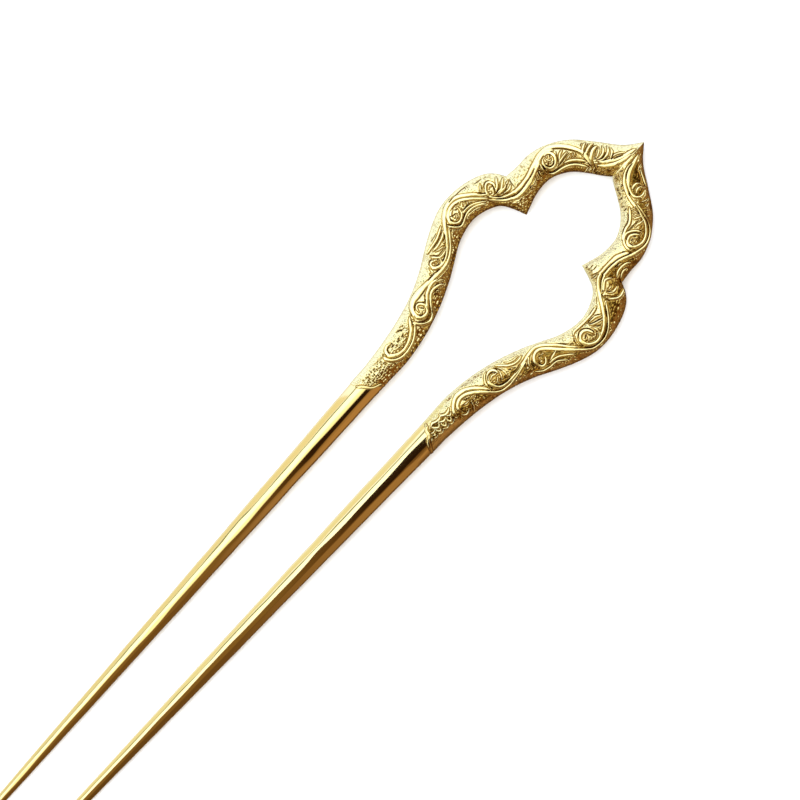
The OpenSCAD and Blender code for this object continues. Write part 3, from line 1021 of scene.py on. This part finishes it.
# The lobes of each side: where a lobe begins and ends along the band, and the step between its rows
LOBES = {
    "upper": (0.0, NOTCH, 0.046),
    "lower": (NOTCH, COLLAR_ALONG, 0.071),
}

# The prong's mesh: its columns, how far it starts inside the head, how far its closest rings reach,
# and how many rings there are near the head, over the rest and over the tip
PRONG_COLUMNS = 96
PRONG_OVERLAP = 0.6
PRONG_NEAR_END = 4.4
PRONG_NEAR_RINGS = 64
PRONG_BODY_RINGS = 240
PRONG_TIP_RINGS = 12

# Unevenness of the prongs: its height, its reach around the prong and the size of its patches, all in
# mm, and the wave that runs around. Rings thinner than the least radius have none.
WOBBLES = {"broad": (0.046, 13, 5.0, np.cos), "fine": (0.014, 3, 1.7, np.sin)}
WOBBLE_SHIFT = 20
WOBBLE_LEAST_RADIUS = 0.5

# How much narrower the prong is under the lip, and where before the lip it widens again
NECK_DEPTH = 0.35
NECK_START = 0.3
NECK_END = 0.12

# The plating's gold, then the half and the deepest shade painted into the relief's hollows and dark zones,
# and the prongs' gold
GOLD = (0.97, 0.805, 0.36)
HALF_SHADE_GOLD = (0.53, 0.315, 0.06)
DEEP_SHADE_GOLD = (0.088, 0.042, 0.004)
PRONG_GOLD = (0.96, 0.73, 0.29)

# The gloss's fine unevenness: how many patches to a metre, how detailed, how much it changes the
# roughness, and how high its bumps are in metres
GLOSS_SCALE = 900.0
GLOSS_DETAIL = 4.0
LEAST_ROUGH = 0.7
MOST_ROUGH = 1.3
GLOSS_BUMP = 0.00002

# The sky: degrees from overhead, negative on the side of the main light, and the colour there
SKY_STRENGTH = 3.0
SKY = [
    (-180, (0.22, 0.23, 0.20)),
    (-140, (0.32, 0.35, 0.42)),
    (-110, (0.39, 0.47, 0.72)),
    (-62, (0.39, 0.47, 0.72)),
    (-57, (0.08, 0.09, 0.05)),
    (-49, (0.08, 0.09, 0.05)),
    (-46, (0.56, 0.66, 0.84)),
    (-12, (0.56, 0.66, 0.84)),
    (-4, (0.46, 0.51, 0.49)),
    (6, (0.39, 0.41, 0.36)),
    (12, (0.19, 0.17, 0.13)),
    (22, (0.11, 0.085, 0.055)),
    (32, (0.050, 0.026, 0.010)),
    (46, (0.050, 0.026, 0.010)),
    (58, (0.080, 0.046, 0.019)),
    (74, (0.15, 0.088, 0.044)),
    (90, (0.12, 0.068, 0.033)),
    (105, (0.10, 0.056, 0.028)),
    (125, (0.05, 0.028, 0.013)),
    (180, (0.05, 0.030, 0.015)),
]

# The cards begin near the tips of the prongs. Colours run from that end, at 0, to the other, at 1.
CARDS_Y = TIP_Y + 1
OVER_CARD_X = (0.5, 33.0)
OVER_CARD_Y = 17.0
OVER_CARD_Z = 34.0
OVER_CARD_COLOURS = [
    (0.0, (0.24, 0.14, 0.05)),
    (0.55, (0.22, 0.13, 0.045)),
    (0.72, (0.12, 0.06, 0.018)),
    (0.83, (0.03, 0.012, 0.004)),
    (0.95, (0.02, 0.008, 0.003)),
]
# Cards that stand upright along the prongs: name, x, last y, lowest z, highest z, and colours
STANDING_CARDS = [
    ("brown_card", -0.1, 24.0, 0.1, 4.5, [(0.0, (0.15, 0.08, 0.025)), (0.5, (0.17, 0.09, 0.03)),
                                          (0.68, (0.34, 0.20, 0.10)), (0.85, (0.44, 0.25, 0.12))]),
    ("pale_card", 0.1, 24.0, 0.1, 4.5, [(0.0, (0.88, 0.92, 0.9)), (1.0, (0.93, 1.0, 1.0))]),
    ("left_card", -40.0, 12.0, -20.0, 20.0, [(0.0, (0.84, 0.88, 0.88)), (1.0, (0.93, 0.95, 0.9))]),
    ("right_card", 40.0, 12.0, -20.0, 30.0, [(0.0, (0.12, 0.065, 0.02)), (0.5, (0.15, 0.08, 0.03)),
                                             (0.9, (0.36, 0.21, 0.10))]),
]

# The floor's half width, and how far it lies below the hairpin, in mm
FLOOR_SIZE = 600
FLOOR_DROP = 0.01
PAPER_WHITE = (0.93, 0.93, 0.93)
PAPER_ROUGHNESS = 0.9

# The soft light overhead: the length of its sides and its height in metres, and its power in watts
LAMP_SIZE = 1.6
LAMP_HEIGHT = 1.2
LAMP_POWER = 18.0

# The photograph looks straight down, with the point of the head to its upper right. Its scale is in
# mm a pixel, and its turn in degrees.
PHOTO_PIXELS = 800
PHOTO_SCALE = 0.15
PHOTO_CENTRE = (-0.84, 19.2)
PHOTO_TURN = 42.51
PHOTO_WIDTH = PHOTO_PIXELS * PHOTO_SCALE
SENSOR = 36.0
LENS = 300.0
FOCUS_HEIGHT = 2.0


def section_shape(angles):
    """Across and up of the band's rounded cross-section at each angle from its outer edge."""
    c, s = np.cos(angles), np.sin(angles)
    across = np.sign(c) * np.abs(c) ** (2 / SECTION_POWER)
    up = np.sign(s) * np.abs(s) ** (2 / SECTION_POWER)
    return across, up * np.where(s < 0, 1 + BACK_CUT, 1)


def column_angles():
    """Angles of the columns: even steps over the front and flanks, and few under the back."""
    dense = np.linspace(-FLANK_FOOT, math.pi + FLANK_FOOT, FINE_ANGLES)
    rim = np.stack([HALF_WIDTH * np.cos(dense), HALF_HEIGHT * np.sin(dense)], axis=1)
    run = run_along(rim)
    front = np.interp(np.linspace(0, run[-1], FRONT_COLUMNS), run, dense)
    back = np.linspace(math.pi + FLANK_FOOT, 2 * math.pi - FLANK_FOOT, BACK_COLUMNS + 2)[1:-1]
    return np.concatenate([front, back])


def lip_along(side, across):
    """How far along the ragged lip lies at each share across."""
    lip = np.array(LIP[side])
    return np.interp(across, lip[:, 1], lip[:, 0])


def lobe_grid(side, lobe, angles):
    """Along, across and up at each row and column of a lobe's mesh, whose last row may be the lip."""
    first, last, spacing = LOBES[lobe]
    steps = int(round((last - first) / spacing))
    share = np.linspace(0, 1, steps + 1)[:, None]
    across, up = section_shape(angles)
    end = lip_along(side, across) if last == COLLAR_ALONG else np.full(len(angles), last)
    along = first + share * (end[None, :] - first)
    return along, np.broadcast_to(across, along.shape), up


def plain_band(along, across, up):
    """The plain band's x and y, and z, with the direction across it and its width at each place."""
    row = sections_at(along)
    thick = thickness_at(row)
    z = np.maximum(0, thick / 2 * (1 + up))
    xy = on_section(row, across)
    line = row[..., :2] - row[..., 2:]
    width = np.linalg.norm(line, axis=-1)
    # Near the prong the section shrinks until it is flush with the prong at its edges
    keep = 1 - COLLAR_SHRINK * smooth_step(BLEND_START, BLEND_END, along)
    middle = (row[..., :2] + row[..., 2:]) / 2
    xy = middle + (xy - middle) * keep[..., None]
    z = thick / 2 + (z - thick / 2) * keep
    return xy, z, line / width[..., None], width


def outward_lean(across, width, z):
    """How far the band's surface faces sideways, from -1 at the window to 1 at the outer edge."""
    q = across * width / 2
    dq = np.roll(q, -1, axis=1) - np.roll(q, 1, axis=1)
    dz = np.roll(z, -1, axis=1) - np.roll(z, 1, axis=1)
    return dz / (np.hypot(dq, dz) + TINY)


def relief_on_rows(angles, along, across, side):
    """The relief's height and painted shade at each row and column: none on the back, at the rims or point.
    """
    front = (angles >= 0) & (angles <= math.pi)
    fade = smooth_step(0, RIM_FADE, np.sin(angles)) * front
    cols = np.flatnonzero(fade > 0)
    along, across = along[:, cols], across[:, cols]
    points = place_in_band(along, across).reshape(-1, 2)
    mitre = smooth_step(0, MITRE_FADE, along)
    rows = []
    for values in relief(points, along.ravel(), across.ravel(), side):
        full = np.zeros((len(along), len(angles)))
        full[:, cols] = values.reshape(along.shape) * fade[cols] * mitre
        rows.append(full)
    return rows


def head_rows(side, lobe):
    """The displaced places of one lobe: rows along the band, columns around its section."""
    angles = column_angles()
    along, across, up = lobe_grid(side, lobe, angles)
    xy, z, outwards, width = plain_band(along, across, up)
    raised, painted_shade = relief_on_rows(angles, along, across, side)
    # The relief rises mostly upwards, so that it stays where it was charted on the flanks too
    lean = RELIEF_LEAN * outward_lean(across, width, z) * raised
    xy = xy + lean[..., None] * outwards
    x, y = SIDES[side] * xy[..., 0], POINT_Y - xy[..., 1]
    places = np.stack([x, y, np.maximum(0, z + raised)], axis=-1)
    if along[0, 0] == 0:
        # Both sides meet in the plane x = 0 at the point
        places[0, :, 0] = 0
    return places, painted_shade


def tube_faces(rows, cols):
    """The walls of a tube of rings, and a fan over each end around the two last vertices."""
    r = np.arange(rows - 1)[:, None] * cols
    c = np.arange(cols)[None, :]
    n = (c + 1) % cols
    walls = np.stack([r + c, r + n, r + cols + n, r + cols + c], axis=-1).reshape(-1, 4)
    c, n = c.ravel(), n.ravel()
    start = np.stack([np.full(cols, rows * cols), n, c], axis=-1)
    tail = (rows - 1) * cols
    stop = np.stack([np.full(cols, rows * cols + 1), tail + c, tail + n], axis=-1)
    return walls, start, stop


def faces_inwards(verts, walls, ring):
    """Whether the wall in the middle of the tube faces the middle of its ring."""
    corners = walls[len(walls) // 2]
    a, b, d = verts[corners[[0, 1, 3]]]
    return np.cross(b - a, d - a) @ (a - ring.mean(axis=0)) < 0


def placed(piece):
    """The piece, now part of the scene."""
    bpy.context.scene.collection.objects.link(piece)
    return piece


def closed_tube(name, places, values=None):
    """A closed mesh from rings of places: rows along it, columns around it, a fan over each end."""
    rows, cols = places.shape[:2]
    caps = [places[0].mean(axis=0), places[-1].mean(axis=0)]
    verts = np.vstack([places.reshape(-1, 3), caps]) * MM
    groups = tube_faces(rows, cols)
    middle_ring = verts[: rows * cols].reshape(rows, cols, 3)[rows // 2]
    if faces_inwards(verts, groups[0], middle_ring):
        groups = [faces[:, ::-1] for faces in groups]
    mesh = bpy.data.meshes.new(name)
    mesh.from_pydata(verts.tolist(), [], [face for faces in groups for face in faces.tolist()])
    mesh.polygons.foreach_set("use_smooth", [True] * len(mesh.polygons))
    mesh.set_sharp_from_angle(angle=math.radians(SHARP_DEGREES))
    if values is not None:
        # The painted shade goes on the mesh for the head's material to colour by
        layer = mesh.attributes.new("painted_shade", "FLOAT", "POINT")
        layer.data.foreach_set("value", np.concatenate([values.ravel(), [0, 0]]).astype(np.float32))
    mesh.validate()
    return placed(bpy.data.objects.new(name, mesh))


def prong_profile(reach):
    """The place along the prong and the radius of each of its rings, up to its rounded tip."""
    taper = (PRONG_ROOT_D - PRONG_TIP_D) / 2 / reach
    shoulder = reach - PRONG_TIP_ROUND
    near_head = np.linspace(-PRONG_OVERLAP, PRONG_NEAR_END, PRONG_NEAR_RINGS)
    body = np.concatenate([near_head[:-1], np.linspace(PRONG_NEAR_END, shoulder, PRONG_BODY_RINGS)])
    turn = np.linspace(0, math.pi / 2, PRONG_TIP_RINGS)[1:-1]
    place = np.concatenate([body, shoulder + PRONG_TIP_ROUND * np.sin(turn)])
    body_r = PRONG_ROOT_D / 2 - taper * np.maximum(body, 0)
    return place, np.concatenate([body_r, body_r[-1] * np.cos(turn)])


def prong_wobble(place, angles, side):
    """The slight unevenness of a prong's polish, in mm."""
    total = 0
    for name, (height, reach, size, wave) in WOBBLES.items():
        around = reach * wave(angles)[None, :] + WOBBLE_SHIFT
        total = total + height * soft_noise(place, around, size, SEEDS[f"{name} {side}"])
    return total


def prong_rows(side):
    """The rings of one prong: straight, tapered, very slightly uneven, with a rounded tip."""
    root = np.array([PRONG_ROOT_X, POINT_Y - HEAD_LENGTH, PRONG_ROOT_LIFT + PRONG_ROOT_D / 2])
    end = np.array([PRONG_END_X, TIP_Y, PRONG_TIP_D / 2])
    reach = np.linalg.norm(end - root)
    run = (end - root) / reach
    across = np.cross(run, [0, 0, 1])
    across = across / np.linalg.norm(across)
    up = np.cross(across, run)
    place, radius = prong_profile(reach)
    place, radius = place[:, None], radius[:, None]
    angles = np.linspace(0, 2 * math.pi, PRONG_COLUMNS, endpoint=False)
    wobble = prong_wobble(place, angles, side) * (radius / (PRONG_ROOT_D / 2))
    # Under the ragged lip of the relief the prong narrows, so that it stays inside the head
    lip = lip_along(side, -np.cos(angles)) - COLLAR_ALONG
    covered = 1 - smooth_step(lip - NECK_START, lip - NECK_END, place)
    r = radius + wobble * (radius > WOBBLE_LEAST_RADIUS) - NECK_DEPTH * covered
    ring = np.cos(angles)[:, None] * across + np.sin(angles)[:, None] * up
    places = root + place[..., None] * run + r[..., None] * ring
    places[..., 0] *= SIDES[side]
    places[..., 2] = np.maximum(places[..., 2], 0)
    return places


def node(tree, kind, place, **settings):
    """A new node of a material or of the sky, with these settings."""
    made = tree.nodes.new(kind)
    made.location = place
    for key, value in settings.items():
        setattr(made, key, value)
    return made


def colour_stops(ramp, stops):
    """Give a colour ramp these stops: a place from 0 to 1 and the colour there."""
    while len(ramp.elements) > 1:
        ramp.elements.remove(ramp.elements[-1])
    for k, (place, colour) in enumerate(stops):
        stop = ramp.elements[0] if k == 0 else ramp.elements.new(place)
        stop.position = place
        stop.color = (*colour, 1.0)


def wire(tree, *wires):
    """Link nodes: each wire names a node and its output, then a node and its input."""
    for source, output, target, name in wires:
        tree.links.new(source.outputs[output], target.inputs[name])


def feed(made, **values):
    """Set a node's inputs, whose names are written here with _ for a space."""
    for key, value in values.items():
        made.inputs[key.replace("_", " ")].default_value = value


def new_material(name):
    """A new material with its tree and its shader."""
    material = bpy.data.materials.new(name)
    material.use_nodes = True
    return material, material.node_tree, material.node_tree.nodes["Principled BSDF"]


def gold(name, roughness, grain):
    """Gold plate with fine unevenness in its gloss, which still has no colour."""
    material, tree, shader = new_material(name)
    feed(shader, Metallic=1.0)
    coords = node(tree, "ShaderNodeTexCoord", (-1200, 0))
    cloud = node(tree, "ShaderNodeTexNoise", (-1000, 0))
    feed(cloud, Scale=GLOSS_SCALE, Detail=GLOSS_DETAIL)
    gloss = node(tree, "ShaderNodeMapRange", (-600, 0))
    feed(gloss, To_Min=roughness * LEAST_ROUGH, To_Max=roughness * MOST_ROUGH)
    bump = node(tree, "ShaderNodeBump", (-300, -200))
    feed(bump, Strength=grain, Distance=GLOSS_BUMP)
    wire(
        tree,
        (coords, "Object", cloud, "Vector"),
        (cloud, "Fac", gloss, "Value"),
        (gloss, "Result", shader, "Roughness"),
        (cloud, "Fac", bump, "Height"),
        (bump, "Normal", shader, "Normal"),
    )
    return material, tree, shader


def relief_gold():
    """The head's plating, with shade painted into its colour in the relief's hollows and dark zones."""
    material, tree, shader = gold("relief_gold", roughness=0.13, grain=0.25)
    shade_input = node(tree, "ShaderNodeAttribute", (-1200, 300), attribute_name="painted_shade")
    shade_tints = node(tree, "ShaderNodeValToRGB", (-900, 300))
    colour_stops(shade_tints.color_ramp, [(0.0, GOLD), (0.5, HALF_SHADE_GOLD), (1.0, DEEP_SHADE_GOLD)])
    wire(tree, (shade_input, "Fac", shade_tints, "Fac"), (shade_tints, "Color", shader, "Base Color"))
    return material


def prong_gold():
    """The prongs' polished plating."""
    material, _, shader = gold("prong_gold", roughness=0.09, grain=0.05)
    feed(shader, Base_Color=(*PRONG_GOLD, 1.0))
    return material


def head_lobe(side, lobe, material):
    places, painted_shade = head_rows(side, lobe)
    piece = closed_tube(f"head_{lobe}_{side}", places, painted_shade)
    piece.data.materials.append(material)
    return piece


def prong(side, material):
    piece = closed_tube(f"prong_{side}", prong_rows(side))
    piece.data.materials.append(material)
    return piece


def hairpin():
    """The pieces of the casting, all on one body."""
    head_material, prong_material = relief_gold(), prong_gold()
    pieces = []
    for side in SIDES:
        for lobe in LOBES:
            pieces.append(head_lobe(side, lobe, head_material))
        pieces.append(prong(side, prong_material))
    for piece in pieces:
        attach(piece, "root")
        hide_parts("hairpin")


def flat_piece(name, corners):
    """A flat four-cornered piece of the studio, with corners in mm."""
    mesh = bpy.data.meshes.new(name)
    mesh.from_pydata([(x * MM, y * MM, z * MM) for x, y, z in corners], [], [(0, 1, 2, 3)])
    return placed(bpy.data.objects.new(name, mesh))


def paper():
    """Matt white paper."""
    material, _, shader = new_material("paper")
    feed(shader, Base_Color=(*PAPER_WHITE, 1.0), Roughness=PAPER_ROUGHNESS, Specular_IOR_Level=0.0)
    return material


def floor():
    size, drop = FLOOR_SIZE, -FLOOR_DROP
    corners = [(-size, -size, drop), (size, -size, drop), (size, size, drop), (-size, size, drop)]
    piece = flat_piece("floor", corners)
    piece.data.materials.append(paper())
    piece.visible_glossy = False


def sky():
    """Long softboxes beside the hairpin, as bands of the sky's angle around its long axis."""
    world = bpy.data.worlds.new("studio")
    bpy.context.scene.world = world
    world.use_nodes = True
    tree = world.node_tree
    backdrop = tree.nodes["Background"]
    coords = node(tree, "ShaderNodeTexCoord", (-900, 0))
    split = node(tree, "ShaderNodeSeparateXYZ", (-700, 0))
    angle = node(tree, "ShaderNodeMath", (-500, 0), operation="ARCTAN2")
    share = node(tree, "ShaderNodeMapRange", (-300, 0))
    feed(share, From_Min=-math.pi, From_Max=math.pi)
    bands = node(tree, "ShaderNodeValToRGB", (-100, 0))
    feed(backdrop, Strength=SKY_STRENGTH)
    wire(
        tree,
        (coords, "Generated", split, "Vector"),
        (split, "X", angle, 0),
        (split, "Z", angle, 1),
        (angle, "Value", share, "Value"),
        (share, "Result", bands, "Fac"),
        (bands, "Color", backdrop, "Color"),
    )
    colour_stops(bands.color_ramp, [((degrees + 180) / 360, colour) for degrees, colour in SKY])


def overhead_fill():
    """A wide soft light that whitens the floor and doesn't mirror in the metal."""
    light = bpy.data.lights.new("overhead", "AREA")
    light.shape = "SQUARE"
    light.size = LAMP_SIZE
    light.energy = LAMP_POWER
    lamp = placed(bpy.data.objects.new("overhead", light))
    lamp.location = (0.0, 0.0, LAMP_HEIGHT)
    lamp.visible_glossy = False


def board(name, colours):
    """A card's glowing board, whose colours run from its low to its high y."""
    material, tree, _ = new_material(name)
    coords = node(tree, "ShaderNodeTexCoord", (-700, 200))
    split = node(tree, "ShaderNodeSeparateXYZ", (-500, 200))
    bands = node(tree, "ShaderNodeValToRGB", (-300, 200))
    colour_stops(bands.color_ramp, colours)
    glow = node(tree, "ShaderNodeEmission", (0, 200))
    wire(
        tree,
        (coords, "Generated", split, "Vector"),
        (split, "Y", bands, "Fac"),
        (bands, "Color", glow, "Color"),
        (glow, "Emission", tree.nodes["Material Output"], "Surface"),
    )
    return material


def card(name, corners, colours):
    """A flat card of the studio, which only mirrors in the metal."""
    piece = flat_piece(name, corners)
    piece.data.materials.append(board(name, colours))
    piece.visible_camera = False
    piece.visible_diffuse = False
    piece.visible_shadow = False


def cards():
    """The card over the prongs, and those that stand between and beside them."""
    near, far = OVER_CARD_X
    corners = [(near, CARDS_Y, OVER_CARD_Z), (far, CARDS_Y, OVER_CARD_Z),
               (far, OVER_CARD_Y, OVER_CARD_Z), (near, OVER_CARD_Y, OVER_CARD_Z)]
    card("over_card", corners, OVER_CARD_COLOURS)
    for name, x, last_y, low, high, colours in STANDING_CARDS:
        corners = [(x, CARDS_Y, low), (x, last_y, low), (x, last_y, high), (x, CARDS_Y, high)]
        card(name, corners, colours)


def camera():
    """A camera straight above the hairpin, turned as in the photograph."""
    data = bpy.data.cameras.new("camera")
    data.lens = LENS
    data.sensor_width = SENSOR
    eye = placed(bpy.data.objects.new("camera", data))
    distance = PHOTO_WIDTH * LENS / SENSOR + FOCUS_HEIGHT
    eye.location = (PHOTO_CENTRE[0] * MM, PHOTO_CENTRE[1] * MM, distance * MM)
    eye.rotation_euler = (0.0, 0.0, math.radians(PHOTO_TURN))
    bpy.context.scene.camera = eye


hairpin()
floor()
sky()
overhead_fill()
cards()
camera()
bpy.context.scene.view_settings.view_transform = "Standard"
